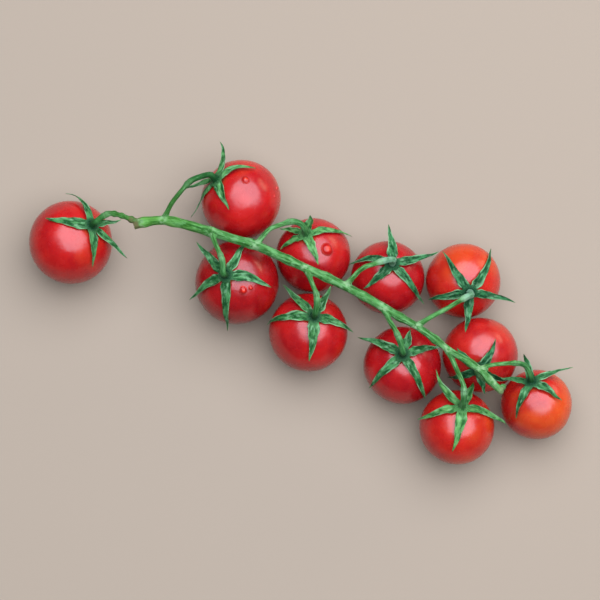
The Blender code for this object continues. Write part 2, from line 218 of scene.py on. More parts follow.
def on_ball(u, v, centre, radius):
    """Where the sight line through (u, v) meets a ball, or its nearest point where it misses."""
    eye = Vector((-PLAN_CENTRE[0], -PLAN_CENTRE[1], SIGHT_HEIGHT))
    ray = (sight(u, v, 0.0) - eye).normalized()
    nearest = eye + ray * (centre - eye).dot(ray)
    off = (nearest - centre).length
    if off >= radius:
        return centre + (nearest - centre).normalized() * radius
    return nearest - ray * math.sqrt(radius * radius - off * off)


def fruit_frame(name):
    u, v, width, ratio, calyx_u, calyx_v = FRUITS[name]
    a = width * MM / 2
    c = a * ratio
    z = a - FLAT
    for _ in range(6):
        centre = sight(u, v, z)
        axis = (on_ball(calyx_u, calyx_v, centre, c + CALYX_TOP) - centre).normalized()
        z = math.sqrt(a * a * (1 - axis.z**2) + c * c * axis.z**2) - FLAT
    return sight(u, v, z), axis, a, c


FRAMES = {name: fruit_frame(name) for name in FRUITS}


def smooth_route(points, count):
    """Points spaced evenly along a Catmull-Rom curve through the given ones."""
    ends = [points[0] * 2 - points[1], *points, points[-1] * 2 - points[-2]]
    fine = []
    for a, b, c, d in zip(ends, ends[1:], ends[2:], ends[3:]):
        for i in range(16):
            t = i / 16
            fine.append(0.5 * (2 * b + (c - a) * t + (2 * a - 5 * b + 4 * c - d) * t * t + (3 * b - a - 3 * c + d) * t**3))
    fine.append(points[-1])
    fine = np.array([tuple(p) for p in fine])
    run = np.concatenate([[0.0], np.cumsum(np.linalg.norm(np.diff(fine, axis=0), axis=1))])
    want = np.linspace(0.0, run[-1], count)
    return np.stack([np.interp(want, run, fine[:, k]) for k in range(3)], axis=1)


def between(values, position):
    i = min(int(position), len(values) - 2)
    return values[i] + (values[i + 1] - values[i]) * (position - i)


def smoothstep(low, high, x):
    t = np.clip((np.asarray(x, float) - low) / (high - low), 0.0, 1.0)
    return t * t * (3 - 2 * t)


def perlin(points, scale, seed, octaves=1):
    """Smooth noise in -1..1 at each point: scale is in features a metre."""
    shift = Vector((seed * 17.13, seed * -9.71, seed * 5.37))
    if octaves == 1:
        return np.array([noise.noise(Vector(p) * scale + shift) for p in points])
    return np.array([noise.fractal(Vector(p) * scale + shift, 0.9, 2.1, octaves) for p in points])


def mesh_object(name, verts, faces, attributes=None):
    mesh = bpy.data.meshes.new(name)
    mesh.from_pydata([tuple(v) for v in verts], [], faces)
    for key, values in (attributes or {}).items():
        put_attribute(mesh, key, values)
    mesh.validate()
    mesh.shade_smooth()
    made = bpy.data.objects.new(name, mesh)
    bpy.context.scene.collection.objects.link(made)
    return made


def put_attribute(mesh, key, values):
    values = np.asarray(values, np.float32)
    if values.ndim == 1:
        mesh.attributes.new(key, "FLOAT", "POINT").data.foreach_set("value", values)
    else:
        mesh.attributes.new(key, "FLOAT_VECTOR", "POINT").data.foreach_set("vector", values.ravel())


def baked(obj):
    """The object's mesh with its modifiers applied."""
    bpy.context.view_layer.update()
    view = bpy.context.evaluated_depsgraph_get()
    mesh = bpy.data.meshes.new_from_object(obj.evaluated_get(view))
    obj.modifiers.clear()
    old = obj.data
    obj.data = mesh
    bpy.data.meshes.remove(old)
    return obj


def coords(mesh):
    co = np.empty(len(mesh.vertices) * 3)
    mesh.vertices.foreach_get("co", co)
    return co.reshape(-1, 3)


# ---------------------------------------------------------------- shader helpers
class Shader:
    """A material with a Principled shader, and short ways to add the nodes that feed it."""

    def __init__(self, name):
        self.material = bpy.data.materials.new(name)
        self.material.use_nodes = True
        self.tree = self.material.node_tree
        self.tree.nodes.clear()
        self.out = self.tree.nodes.new("ShaderNodeOutputMaterial")
        self.main = self.tree.nodes.new("ShaderNodeBsdfPrincipled")
        self.tree.links.new(self.main.outputs["BSDF"], self.out.inputs["Surface"])

    def put(self, socket, value):
        if isinstance(value, bpy.types.NodeSocket):
            self.tree.links.new(value, socket)
        elif isinstance(value, (tuple, list)) and len(value) == 3 and socket.type == "RGBA":
            socket.default_value = (*value, 1.0)
        else:
            socket.default_value = value

    def set(self, **values):
        for key, value in values.items():
            self.put(self.main.inputs[key.replace("_", " ")], value)

    def node(self, kind, inputs=None, **props):
        made = self.tree.nodes.new("ShaderNode" + kind)
        for key, value in props.items():
            setattr(made, key, value)
        for key, value in (inputs or {}).items():
            self.put(made.inputs[key], value)
        return made

    def attribute(self, name, output="Fac"):
        return self.node("Attribute", attribute_name=name, attribute_type="GEOMETRY").outputs[output]

    def place(self):
        return self.node("TexCoord").outputs["Object"]

    def noise(self, vector, scale, detail=2.0, roughness=0.5, distortion=0.0):
        made = self.node("TexNoise", {"Vector": vector, "Scale": scale, "Detail": detail, "Roughness": roughness, "Distortion": distortion})
        return made.outputs["Fac"]

    def dots(self, vector, scale, randomness=1.0):
        made = self.node("TexVoronoi", {"Vector": vector, "Scale": scale, "Randomness": randomness}, feature="F1")
        return made.outputs["Distance"]

    def math(self, operation, a, b=0.5, clamp=False):
        made = self.node("Math", operation=operation, use_clamp=clamp)
        self.put(made.inputs[0], a)
        self.put(made.inputs[1], b)
        return made.outputs[0]

    def ramp(self, value, low, high, to_low=0.0, to_high=1.0):
        made = self.node("MapRange", {"Value": value, "From Min": low, "From Max": high, "To Min": to_low, "To Max": to_high}, interpolation_type="SMOOTHSTEP")
        return made.outputs["Result"]

    def mix(self, factor, a, b, blend="MIX"):
        made = self.node("Mix", data_type="RGBA", blend_type=blend, clamp_factor=True)
        self.put(made.inputs[0], factor)
        self.put(made.inputs[6], a)
        self.put(made.inputs[7], b)
        return made.outputs[2]

    def bump(self, height, strength, distance, normal=None):
        inputs = {"Height": height, "Strength": strength, "Distance": distance}
        if normal is not None:
            inputs["Normal"] = normal
        return self.node("Bump", inputs).outputs["Normal"]


# ---------------------------------------------------------------- tomatoes
def fruit_swell(name, unit):
    """How far the skin stands off its plain ellipsoid in each direction, as a factor: uneven growth and soft lobes."""
    seed = int(name)
    swell = 1 + 0.010 * perlin(unit, 1.1, seed) + 0.006 * perlin(unit, 2.4, seed + 20)
    around = np.arctan2(unit[:, 1], unit[:, 0])
    flat = unit[:, 0] ** 2 + unit[:, 1] ** 2
    return swell + 0.0055 * flat * (0.5 + 0.5 * unit[:, 2]) * np.cos((4 + seed % 3) * around + seed)


# the side, as a direction in the surface, towards which a fruit's orange is pushed as a painted warm reflection, where
# it isn't the usual one
WARM_REFLECTION_SIDES = {"08": (0.1, 1.0), "09": (0.8, -0.6), "10": (0.8, -0.6), "11": (0.7, 0.7)}


def build_tomato(name):
    """One fruit: a slightly lobed, slightly uneven ball with a dimple under its calyx, flat where it rests."""
    centre, axis, a, c = FRAMES[name]
    seed = int(name)
    rings, segments = 84, 112
    theta = np.linspace(0.0, math.pi, rings + 1)[1:-1]
    phi = np.linspace(0.0, 2 * math.pi, segments, endpoint=False)
    th, ph = np.meshgrid(theta, phi, indexing="ij")
    th = np.concatenate([[0.0], th.ravel(), [math.pi]])
    ph = np.concatenate([[0.0], ph.ravel(), [0.0]])
    unit = np.stack([np.sin(th) * np.cos(ph), np.sin(th) * np.sin(ph), np.cos(th)], axis=1)
    local = unit * np.array([a, a, c]) * fruit_swell(name, unit)[:, None]
    rho = np.hypot(local[:, 0], local[:, 1])
    top, bottom = np.cos(th) > 0, np.cos(th) < 0
    local[:, 2] -= top * 0.95 * MM * np.exp(-((rho / (2.7 * MM)) ** 2))
    local[:, 2] += bottom * (0.28 * MM * np.exp(-((rho / (1.9 * MM)) ** 2)) - 0.22 * MM * np.exp(-((rho / (0.55 * MM)) ** 2)))
    turn = np.array(axis.to_track_quat("Z", "Y").to_matrix())
    world = local @ turn.T + np.array(centre)
    soft = 0.2 * MM
    world[:, 2] = 0.5 * (world[:, 2] + np.sqrt(world[:, 2] ** 2 + soft**2))
    world[:, 2] -= world[:, 2].min()
    faces = []
    for k in range(segments):
        n = (k + 1) % segments
        faces.append((0, 1 + k, 1 + n))
        last = 1 + (rings - 2) * segments
        faces.append((last + n, last + k, last + segments))
    for r in range(rings - 2):
        for k in range(segments):
            n = (k + 1) % segments
            p = 1 + r * segments
            faces.append((p + k, p + segments + k, p + segments + n, p + n))
    pole = rho / MM
    stem_end = np.where(top, pole, 99.0)
    scar = np.where(bottom, pole, 99.0)
    # painted warm reflection: how far each point lies towards the fruit's warm side
    warm_side = np.array([*WARM_REFLECTION_SIDES.get(name, (0.9, 0.25)), 0.0])
    warm_side = (world - np.array(centre)) @ (warm_side / np.linalg.norm(warm_side)) / a
    made = mesh_object(
        "tomato_skin_" + name,
        world,
        faces,
        {"stem_end": stem_end, "scar": scar, "bearing": unit + seed * 3.7, "warm_reflection_side": warm_side},
    )
    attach(made, "root")
    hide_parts("tomato_" + name)
    return made


def tomato_material(name, deep, bright, orange, ripeness):
    """Ripe skin: deep red clouded with brighter red, orange where the fruit is last to turn and more orange towards one
    side as a painted warm reflection, minute pale dots, a waxy gloss.
    """
    s = Shader("tomato_skin_" + name)
    where = s.attribute("bearing", "Vector")
    place = s.place()
    clouds = s.noise(where, 1.3, 3.0, 0.55)
    colour = s.mix(s.ramp(clouds, 0.36, 0.68), deep, bright)
    # the orange of ripening, pushed towards the warm side by a painted warm reflection
    turning_and_warm_reflection = s.math("ADD", s.noise(where, 0.9, 2.0, 0.5), s.math("MULTIPLY", s.attribute("warm_reflection_side"), 0.20))
    turning_and_warm_reflection = s.ramp(turning_and_warm_reflection, 0.80 - ripeness, 1.12 - ripeness)
    colour = s.mix(turning_and_warm_reflection, colour, orange)
    streaks = s.noise(where, 9.0, 4.0, 0.62, 0.4)
    colour = s.mix(s.ramp(streaks, 0.35, 0.75, 0.0, 0.28), colour, (bright[0] * 1.08, bright[1] * 1.9, bright[2] * 1.2))
    specks = s.ramp(s.dots(place, 820.0), 0.04, 0.18, 0.26, 0.0)
    specks = s.math("MULTIPLY", specks, s.ramp(s.noise(place, 140.0, 1.0), 0.50, 0.68))
    colour = s.mix(specks, colour, (0.50, 0.13, 0.04))
    colour = s.mix(s.ramp(s.attribute("stem_end"), 1.6, 4.6, 0.75, 0.0), colour, (0.23, 0.050, 0.010))
    colour = s.mix(s.ramp(s.attribute("scar"), 0.25, 0.85, 1.0, 0.0), colour, (0.085, 0.040, 0.016))
    rough = s.ramp(s.noise(place, 260.0, 3.0), 0.3, 0.7, 0.21, 0.31)
    rough = s.math("ADD", rough, s.ramp(s.attribute("scar"), 0.3, 0.9, 0.4, 0.0))
    pores = s.noise(place, 1500.0, 2.0, 0.6)
    swells = s.noise(place, 95.0, 2.0, 0.5)
    normal = s.bump(swells, 0.8, 0.42 * MM)
    waves = s.noise(place, 210.0, 3.0, 0.55)
    normal = s.bump(waves, 0.75, 0.16 * MM, normal)
    normal = s.bump(pores, 0.16, 0.05 * MM, normal)
    s.set(
        Base_Color=colour,
        Roughness=rough,
        IOR=1.50,
        Subsurface_Weight=0.14,
        Subsurface_Radius=(1.0, 0.10, 0.06),
        Subsurface_Scale=2.5 * MM,
        Coat_Weight=0.06,
        Coat_Roughness=0.12,
        Coat_IOR=1.4,
        Normal=normal,
    )
    return s.material


# name: (deep red, bright red, orange, how much of it is still turning)
SKINS = {
    "01": ((0.285, 0.0030, 0.0055), (0.385, 0.0075, 0.0065), (0.420, 0.026, 0.0070), 0.24),
    "02": ((0.290, 0.0030, 0.0060), (0.390, 0.0070, 0.0070), (0.425, 0.026, 0.0070), 0.24),
    # 03 is set darker than the rest, as painted shade cast by the main stem
    "03": ((0.190, 0.0018, 0.0042), (0.288, 0.0040, 0.0056), (0.330, 0.012, 0.0055), 0.12),
    "04": ((0.245, 0.0024, 0.0055), (0.350, 0.0060, 0.0070), (0.390, 0.020, 0.0065), 0.16),
    "05": ((0.260, 0.0028, 0.0055), (0.365, 0.0068, 0.0070), (0.400, 0.022, 0.0065), 0.20),
    "06": ((0.245, 0.0024, 0.0055), (0.350, 0.0055, 0.0065), (0.390, 0.020, 0.0065), 0.16),
    "07": ((0.240, 0.0024, 0.0055), (0.345, 0.0055, 0.0070), (0.380, 0.018, 0.0065), 0.14),
    "08": ((0.310, 0.0045, 0.0055), (0.410, 0.0130, 0.0070), (0.445, 0.042, 0.0080), 0.34),
    "09": ((0.310, 0.0045, 0.0055), (0.410, 0.0120, 0.0070), (0.445, 0.040, 0.0080), 0.30),
    "10": ((0.290, 0.0040, 0.0060), (0.400, 0.0130, 0.0070), (0.470, 0.058, 0.0090), 0.39),
    "11": ((0.285, 0.0040, 0.0060), (0.390, 0.0110, 0.0080), (0.420, 0.034, 0.0085), 0.26),
}


# ---------------------------------------------------------------- calyxes
def clear_of_fruit(points, own, own_lift, other_lift):
    """Moves points out of the fruits, so that they stay the stated lift above each skin."""
    out = np.array(points, float)
    for _ in range(2):
        for name, (centre, axis, a, c) in FRAMES.items():
            lift = own_lift if name == own else other_lift
            turn = np.array(axis.to_track_quat("Z", "Y").to_matrix())
            local = (out - np.array(centre)) @ turn
            near = np.linalg.norm(local, axis=1) < 1.15 * a + np.max(lift)
            if not near.any():
                continue
            some = local[near]
            lifts = lift[near] if np.ndim(lift) else np.full(len(some), lift)
            unit = some / np.array([a, a, c])
            unit = unit / np.linalg.norm(unit, axis=1)[:, None]
            size = np.array([a, a, c]) * fruit_swell(name, unit)[:, None] + lifts[:, None]
            k = np.sqrt(((some / size) ** 2).sum(axis=1))
            local[near] = some * np.where(k < 1.0, 1.0 / np.maximum(k, 1e-6), 1.0)[:, None]
            out = local @ turn.T + np.array(centre)
    return out


def sepal_width(t):
    """Share of full width along a sepal: broad at its foot, then a long drawn-out point."""
    foot = 0.92 + 0.08 * np.sin(np.clip(t / 0.12, 0, 1) * math.pi / 2)
    s = np.clip((t - 0.12) / 0.88, 0, 1)
    return foot * (1 - s) ** 0.82


COLUMNS, ROWS = 12, 34
FOOT_HEIGHT = 0.95 * MM
HUB = 2.65 * MM  # how far from the calyx's axis two neighbouring sepals part


def sepal_line(name, tip):
    """A sepal's centre line with, at each of its places, the way it runs, its left and its upper side."""
    centre, axis, a, c = FRAMES[name]
    u, v, z, _width, way, _roll = tip
    foot = centre + axis * (c + FOOT_HEIGHT)
    end = on_ball(u, v, centre, a + 1.0 * MM) if z is None else sight(u, v, z * MM)
    reach = end - foot
    flat = (reach - axis * reach.dot(axis)).normalized()
    lead = foot + flat * reach.length * 0.52
    if way is not None:
        half = sight(way[0], way[1], (foot * 0.25 + lead * 0.5 + end * 0.25).z)
        lead = half * 2 - (foot + end) * 0.5
    t = np.linspace(0.0, 1.0, ROWS + 1)
    start = min(3.0 * MM / reach.length, 0.45)
    s = start + (1 - start) * t
    f, m, e = (np.array(p) for p in (foot, lead, end))
    line = np.outer((1 - s) ** 2, f) + np.outer(2 * s * (1 - s), m) + np.outer(s * s, e)
    run = np.outer(1 - s, m - f) + np.outer(s, e - m)
    run /= np.linalg.norm(run, axis=1)[:, None]
    up = np.empty_like(run)
    carried = np.array(axis)
    for i in range(len(run)):
        carried = carried - run[i] * carried.dot(run[i])
        carried /= np.linalg.norm(carried)
        up[i] = carried
    return t, s * reach.length, line, run, np.cross(up, run), up


def plan_place(name, points):
    """Distance from a calyx's own axis, and bearing round it."""
    centre, axis, _a, _c = FRAMES[name]
    local = (np.array(points) - np.array(centre)) @ np.array(axis.to_track_quat("Z", "Y").to_matrix())
    return np.hypot(local[..., 0], local[..., 1]), np.arctan2(local[..., 1], local[..., 0])


def sepal_sheet(name, number, lines, bearing, low, high):
    """The points of a sepal's upper and under face, row by row, and what its material needs to know of each."""
    _u, _v, _z, width, _way, roll = SEPALS[name][number]
    t, run_length, line, _run, left, up = lines
    seed = int(name) * 10 + number
    # the blade rolls over a little towards its tip, sways, and ends in a small curl
    angle = math.radians(roll) * smoothstep(0.15, 0.8, t) + 0.10 * np.sin(t * 7.0 + seed)
    rolled_left = left * np.cos(angle)[:, None] + up * np.sin(angle)[:, None]
    rolled_up = up * np.cos(angle)[:, None] - left * np.sin(angle)[:, None]
    sway = 0.16 * MM * np.sin(t * 9.0 + seed * 1.7) * smoothstep(0.1, 0.5, t)
    curl = (0.5 + 0.5 * math.sin(seed * 2.3)) * 0.9 * MM * smoothstep(0.72, 1.0, t) ** 1.5
    line = line + left * sway[:, None] + up * curl[:, None]
    half_width = sepal_width(t) * width * MM / 2
    away, at = plan_place(name, line)
    at = bearing + (at - bearing + math.pi) % (2 * math.pi) - math.pi
    rights = np.minimum(half_width, 0.9 * away * np.sin(np.clip(at - low, 0.12, math.pi / 2)))
    lefts = np.minimum(half_width, 0.9 * away * np.sin(np.clip(high - at, 0.12, math.pi / 2)))
    across = np.linspace(-1.0, 1.0, COLUMNS + 1)
    frill = 1 + 0.05 * np.sin(t * 23.0 + seed)[:, None] * np.sign(across)[None, :] * np.abs(across)[None, :] ** 3
    sideways = np.where(across[None, :] < 0, rights[:, None], lefts[:, None]) * across[None, :] * frill
    # a shallow channel, its margins turned up and its midrib a little raised
    lifted = half_width[:, None] * 0.24 * np.abs(across)[None, :] ** 2.4 * smoothstep(0.02, 0.25, t)[:, None]
    midrib = 0.13 * MM * np.exp(-((across[None, :] / 0.12) ** 2)) * (1 - t[:, None]) ** 0.5
    veins = 0.030 * MM * np.sin(np.abs(across)[None, :] * 9.5 + 0.6) * (1 - across[None, :] ** 2)
    rough = np.array([[noise.noise(Vector((x * 2.3, y * 9.0, seed * 1.3))) for x in across] for y in t]) * 0.10 * MM
    rough = rough * (1 - across[None, :] ** 4)
    top = line[:, None, :] + rolled_left[:, None, :] * sideways[:, :, None]
    top = top + rolled_up[:, None, :] * (lifted + midrib + veins + rough)[:, :, None]
    thick = (0.18 + 0.20 * (1 - t[:, None]) + 0.12 * np.exp(-((across[None, :] / 0.25) ** 2))) * MM
    thick = thick * np.clip(1 - np.abs(across)[None, :] ** 6, 0, 1) * (1 - 0.45 * t[:, None])
    shape = top.shape
    own = 0.62 * MM + 0.25 * MM * smoothstep(0.3, 1.0, t)[:, None] + 0.0 * across[None, :]
    top = clear_of_fruit(top.reshape(-1, 3), name, own.ravel(), 0.75 * MM).reshape(shape)
    top[:, :, 2] = np.maximum(top[:, :, 2], 0.8 * MM)
    under = top - rolled_up[:, None, :] * thick[:, :, None]
    edge = np.broadcast_to(np.abs(across)[None, :], sideways.shape)
    along = np.broadcast_to(t[:, None], sideways.shape)
    length = np.broadcast_to((run_length / MM)[:, None], sideways.shape)
    grain = np.stack([sideways / MM, length, np.full(sideways.shape, seed * 7.3)], axis=2)
    return top, under, edge, along, grain


def build_calyx(name):
    """Five sepals and the small cup that joins them, as one closed body."""
    centre, axis, a, c = FRAMES[name]
    turn = axis.to_track_quat("Z", "Y").to_matrix()
    inverse = np.array(turn.inverted())
    turn = np.array(turn)
    base = np.array(centre)
    verts, edge, along, grain, side = [], [], [], [], []

    def add(point, e, t, g, under):
        verts.append(point)
        edge.append(e)
        along.append(t)
        grain.append(g)
        side.append(under)
        return len(verts) - 1

    lines = [(number, sepal_line(name, tip)) for number, tip in enumerate(SEPALS[name])]
    lines = sorted(((float(plan_place(name, line[2][ROWS // 4])[1]), number, line) for number, line in lines), key=lambda s: s[0])
    bearings = [s[0] for s in lines]
    count = len(lines)
    notches = []
    for i in range(count):
        after = bearings[(i + 1) % count] + (2 * math.pi if i == count - 1 else 0.0)
        notches.append((bearings[i] + after) / 2)
    sheets = []
    for i, (bearing, number, line) in enumerate(lines):
        low = notches[i - 1] - (2 * math.pi if i == 0 else 0.0)
        sheets.append((bearing, number, sepal_sheet(name, number, line, bearing, low, notches[i])))
    faces = []
    top_rows, under_rows = [], []
    notch_ids = []
    for i in range(count):
        angle = notches[i]
        local = np.array([HUB * math.cos(angle), HUB * math.sin(angle), c + FOOT_HEIGHT - 0.22 * MM])
        notch_ids.append(add(turn @ local + base, 0.7, 0.0, (0, 0, i), 0.0))
    for i, (_bearing, _number, (top, under, e, t, g)) in enumerate(sheets):
        low, high = notches[i - 1] - (2 * math.pi if i == 0 else 0.0), notches[i]
        tops, unders = [], []
        row_top, row_under = [], []
        for k in range(COLUMNS + 1):
            if k in (0, COLUMNS):
                both = notch_ids[i - 1] if k == 0 else notch_ids[i]
                row_top.append(both)
                row_under.append(both)
                continue
            x = k / COLUMNS
            angle = low + (high - low) * x
            bulge = math.sin(math.pi * x)
            radius = HUB + 0.34 * MM * bulge
            flat = np.array([radius * math.cos(angle), radius * math.sin(angle), 0.0])
            up = np.array([0, 0, c + FOOT_HEIGHT - 0.22 * MM + 0.26 * MM * bulge])
            row_top.append(add(turn @ (flat + up) + base, e[0, k] * 0.7, 0.0, g[0, k], 0.0))
            row_under.append(add(turn @ (flat + up - np.array([0, 0, 0.62 * MM * bulge])) + base, e[0, k], 0.0, g[0, k], 1.0))
        tops.append(row_top)
        unders.append(row_under)
        for r in range(1, ROWS):
            row_top, row_under = [], []
            for k in range(COLUMNS + 1):
                top_id = add(top[r, k], e[r, k], t[r, k], g[r, k], 0.0)
                row_top.append(top_id)
                row_under.append(top_id if k in (0, COLUMNS) else add(under[r, k], e[r, k], t[r, k], g[r, k], 1.0))
            tops.append(row_top)
            unders.append(row_under)
        point = add((top[ROWS, COLUMNS // 2] + under[ROWS, COLUMNS // 2]) / 2, 1.0, 1.0, g[ROWS, COLUMNS // 2], 0.0)
        for r in range(ROWS - 1):
            for k in range(COLUMNS):
                faces.append((tops[r][k], tops[r + 1][k], tops[r + 1][k + 1], tops[r][k + 1]))
                faces.append((unders[r][k], unders[r][k + 1], unders[r + 1][k + 1], unders[r + 1][k]))
        for k in range(COLUMNS):
            faces.append((tops[-1][k], point, tops[-1][k + 1]))
            faces.append((unders[-1][k], unders[-1][k + 1], point))
        top_rows.append(tops[0])
        under_rows.append(unders[0])
    # the cup: rings that climb to the stalk above, and close on the fruit below
    outer_top = [v for row in top_rows for v in row[:-1]]
    outer_under = [v for row in under_rows for v in row[:-1]]
    spots = len(outer_top)

    def ring(radius, height, under):
        ids = []
        for k, v in enumerate(outer_top):
            local = inverse @ (np.array(verts[v]) - base)
            angle = math.atan2(local[1], local[0])
            ripple = 1 + 0.06 * math.sin(5 * angle + int(name))
            place = np.array([radius * ripple * math.cos(angle), radius * ripple * math.sin(angle), c + height])
            ids.append(add(turn @ place + base, 0.35, 0.0, (k * 0.35, radius / MM, 3.0), under))
        return ids

    for outer, levels, last, under in (
        (outer_top, [(1.75, 0.86), (1.20, 1.06), (0.60, 1.36)], 1.45, 0.0),
        (outer_under, [(1.75, 0.10), (1.20, -0.22), (0.60, -0.52)], -0.58, 1.0),
    ):
        previous = outer
        for radius, height in levels:
            new = ring(radius * MM, height * MM, under)
            for k in range(spots):
                n = (k + 1) % spots
                quad = (previous[k], previous[n], new[n], new[k])
                faces.append(quad if not under else quad[::-1])
            previous = new
        middle = add(turn @ np.array([0, 0, c + last * MM]) + base, 0.3, 0.0, (0, 0, 3.0), under)
        for k in range(spots):
            n = (k + 1) % spots
            triangle = (previous[k], previous[n], middle)
            faces.append(triangle if not under else triangle[::-1])
    hub = plan_place(name, verts)[0] / MM
    made = mesh_object("sepals_" + name, verts, faces, {"edge": edge, "along": along, "grain": grain, "underside": side, "hub": hub, "tint": np.full(len(verts), CALYX_TINTS[name])})
    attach(made, "root")
    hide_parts("calyx_" + name)
    return made


# how light and yellowish each calyx is, from 0 for the dark bluish ones to 1
CALYX_TINTS = {"01": 0.25, "02": 0.45, "03": 0.20, "04": 0.62, "05": 0.30, "06": 0.05, "07": 0.20, "08": 0.0, "09": 0.68, "10": 0.15, "11": 0.0}


def sepal_material():
    """Downy sepals: dark blotched green, thin pale margins, painted shade darkening the hub, paler undersides."""
    s = Shader("sepal_green")
    grain = s.attribute("grain", "Vector")
    place = s.place()
    stretched = s.node("Mapping", {"Vector": grain, "Scale": (1.0, 0.34, 1.0)}, vector_type="POINT").outputs[0]
    mottle = s.noise(stretched, 0.80, 3.0, 0.52, 0.4)
    colour = s.mix(s.ramp(mottle, 0.38, 0.66), (0.002, 0.034, 0.009), (0.028, 0.145, 0.052))
    light = s.ramp(s.noise(stretched, 1.00, 3.0, 0.52), 0.50, 0.70, 0.0, 0.85)
    light = s.math("MULTIPLY", light, s.ramp(s.attribute("tint"), 0.0, 0.4, 0.55, 1.0))
    colour = s.mix(light, colour, (0.158, 0.345, 0.185))
    colour = s.mix(s.math("MULTIPLY", s.attribute("tint"), 0.80), colour, s.mix(s.ramp(mottle, 0.38, 0.64), (0.018, 0.115, 0.018), (0.135, 0.340, 0.085)))
    edge = s.math("ADD", s.attribute("edge"), s.ramp(s.noise(stretched, 0.55, 2.0, 0.5), 0.32, 0.68, -0.34, 0.14))
    colour = s.mix(s.ramp(edge, 0.70, 1.0, 0.0, 0.72), colour, (0.190, 0.380, 0.200))
    colour = s.mix(s.ramp(s.attribute("along"), 0.86, 1.0, 0.0, 0.35), colour, (0.12, 0.17, 0.05))
    colour = s.mix(s.math("MULTIPLY", s.attribute("underside"), 0.50), colour, (0.110, 0.260, 0.120))
    down = s.ramp(s.noise(place, 2600.0, 2.0, 0.7), 0.58, 0.74, 0.0, 0.30)
    colour = s.mix(down, colour, (0.27, 0.41, 0.27))
    # painted shade at the hub, round the stalk's foot; lighter calyxes get less of it
    hub = s.ramp(s.attribute("hub"), 1.3, 3.9, 0.85, 0.0)
    hub = s.math("MULTIPLY", hub, s.ramp(s.attribute("tint"), 0.3, 0.6, 1.0, 0.25))
    colour = s.mix(hub, colour, (0.003, 0.026, 0.011))
    veins = s.noise(stretched, 4.0, 3.0, 0.6)
    normal = s.bump(veins, 0.5, 0.16 * MM)
    normal = s.bump(s.noise(place, 2200.0, 2.0, 0.6), 0.35, 0.07 * MM, normal)
    s.set(
        Base_Color=colour,
        Roughness=0.50,
        IOR=1.13,
        Sheen_Weight=0.02,
        Sheen_Roughness=0.4,
        Sheen_Tint=(0.84, 1.0, 0.86),
        Subsurface_Weight=0.05,
        Subsurface_Radius=(0.3, 1.0, 0.2),
        Subsurface_Scale=0.4 * MM,
        Normal=normal,
    )
    return s.material


# ---------------------------------------------------------------- water droplets
# fruit, (u, v) it sits at, width in mm
DROPLETS = [
    ("04", 334.4, 71.2, 5.0),
    ("02", 280.4, 24.6, 3.3),
    ("02", 299.6, 36.0, 1.0),
    ("02", 301.2, 30.4, 1.4),
    ("03", 279.2, 98.8, 3.2),
    ("03", 284.2, 97.2, 1.9),
]


def build_droplet(number, name, u, v, width):
    """A clear dome of water: its foot follows the skin, its top is a shallow cap."""
    centre, axis, a, c = FRAMES[name]
    middle = on_ball(u, v, centre, a)
    out = (middle - centre).normalized()
    turn = np.array(out.to_track_quat("Z", "Y").to_matrix())
    radius = width * MM / 2
    rings, segments = 14, 40
    height = 0.60 * radius
    flat = [(0.0, 0.0)]
    for r in range(1, rings + 1):
        flat += [(radius * r / rings, 2 * math.pi * k / segments) for k in range(segments)]
    flat = np.array(flat)
    wobble = 1 + 0.06 * np.sin(2 * flat[:, 1] + number) + 0.03 * np.sin(3 * flat[:, 1] + 2 * number)
    disc = np.stack([flat[:, 0] * wobble * np.cos(flat[:, 1]), flat[:, 0] * wobble * np.sin(flat[:, 1]), np.full(len(flat), a)], axis=1)
    world = disc @ turn.T + np.array(centre)
    tilt = np.array(axis.to_track_quat("Z", "Y").to_matrix())
    local = (world - np.array(centre)) @ tilt
    unit = local / np.array([a, a, c])
    unit /= np.linalg.norm(unit, axis=1)[:, None]
    skin = (unit * np.array([a, a, c]) * fruit_swell(name, unit)[:, None]) @ tilt.T + np.array(centre)
    ray = skin - np.array(centre)
    ray /= np.linalg.norm(ray, axis=1)[:, None]
    share = flat[:, 0] / radius
    cap = height * (1 - share**2) ** 0.66
    top = skin + ray * (cap + 0.015 * MM)[:, None]
    foot = skin - ray * 0.03 * MM
    verts = np.concatenate([top, foot])
    base = len(flat)
    faces = []
    for k in range(segments):
        n = (k + 1) % segments
        faces += [(0, 1 + k, 1 + n), (base, base + 1 + n, base + 1 + k)]
    for r in range(rings - 1):
        p, q = 1 + r * segments, 1 + (r + 1) * segments
        for k in range(segments):
            n = (k + 1) % segments
            faces += [(p + k, q + k, q + n, p + n), (base + p + k, base + p + n, base + q + n, base + q + k)]
    p = 1 + (rings - 1) * segments
    for k in range(segments):
        n = (k + 1) % segments
        faces.append((p + k, base + p + k, base + p + n, p + n))
    made = mesh_object("droplet_%d" % number, verts, faces, {"rim": np.concatenate([share, share])})
    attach(made, "root")
    return made


def water_material():
    """Water over red skin, its light painted in: a painted bright centre where it gathers the light, painted shade
    round that, a painted pale reflection at its rim, very glossy.
    """
    s = Shader("water_on_skin")
    rim = s.attribute("rim")
    # painted light: a bright centre where the drop gathers the light, fading to painted shade round it
    colour = s.mix(s.ramp(rim, 0.05, 0.55), (0.560, 0.040, 0.018), (0.300, 0.006, 0.006))
    # painted reflection: a paler ring at the drop's rim
    colour = s.mix(s.ramp(rim, 0.74, 0.92), colour, (0.520, 0.050, 0.040))
    s.set(Base_Color=colour, Roughness=0.10, IOR=1.333, Coat_Weight=0.10, Coat_Roughness=0.05, Coat_IOR=1.333)
    return s.material


